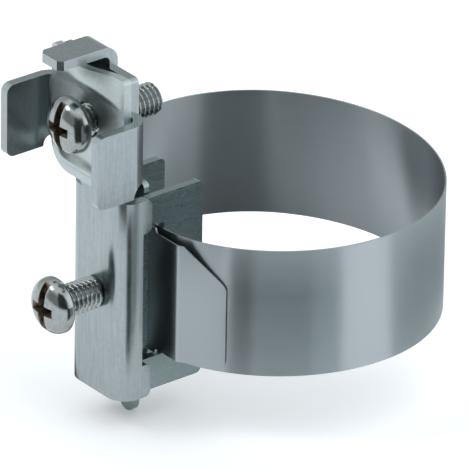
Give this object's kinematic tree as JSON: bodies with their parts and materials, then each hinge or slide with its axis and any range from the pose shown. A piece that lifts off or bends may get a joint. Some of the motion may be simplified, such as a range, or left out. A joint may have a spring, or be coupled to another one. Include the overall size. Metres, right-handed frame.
{
  "type": "earthing pipe clamp",
  "caption": "Earthing clamp for a pipe: a slotted sheet body with a strap loop, a tension screw and a screw terminal for one conductor.",
  "frame": {"origin": "on the axis of the band's loop, at half the band's height", "axes": "+Z along the pipe, towards the conductor terminal; -Y towards the front, where both screws are turned"},
  "size_m": [0.0662, 0.0825, 0.0763],
  "materials": {
    "body_steel": "satin",
    "yoke_steel": "satin",
    "band_steel": "bright rolled",
    "screw_steel": "polished"
  },
  "bodies": {
    "clamp": {"clamp_body": "body_steel", "yoke": "yoke_steel", "band": "band_steel"},
    "pressure_plate": {"pressure_plate": "yoke_steel"},
    "tension_screw": {"tension_screw": "screw_steel"},
    "clamp_plate": {"clamp_plate": "body_steel"},
    "terminal_screw": {"terminal_screw": "screw_steel"}
  },
  "joints": [
    {"name": "pressure_slide", "type": "slide", "parent": "clamp", "child": "pressure_plate", "axis": [0, 1, 0], "range_m": [-0.004, 0]},
    {"name": "tension_turn", "type": "hinge", "parent": "pressure_plate", "child": "tension_screw", "pos_m": [0, -0.0402, 0], "axis": [0, 1, 0], "range_deg": [-1441, 0]},
    {"name": "plate_slide", "type": "slide", "parent": "clamp", "child": "clamp_plate", "axis": [0, 1, 0], "range_m": [-0.005, 0]},
    {"name": "terminal_turn", "type": "hinge", "parent": "clamp_plate", "child": "terminal_screw", "pos_m": [0, -0.0402, 0.0347], "axis": [0, 1, 0], "range_deg": [-1801, 0]}
  ],
  "couplings": [
    {"joint": "tension_turn", "follows": "pressure_slide", "rad_per_m": 6283.2},
    {"joint": "terminal_turn", "follows": "plate_slide", "rad_per_m": 6283.2}
  ]
}
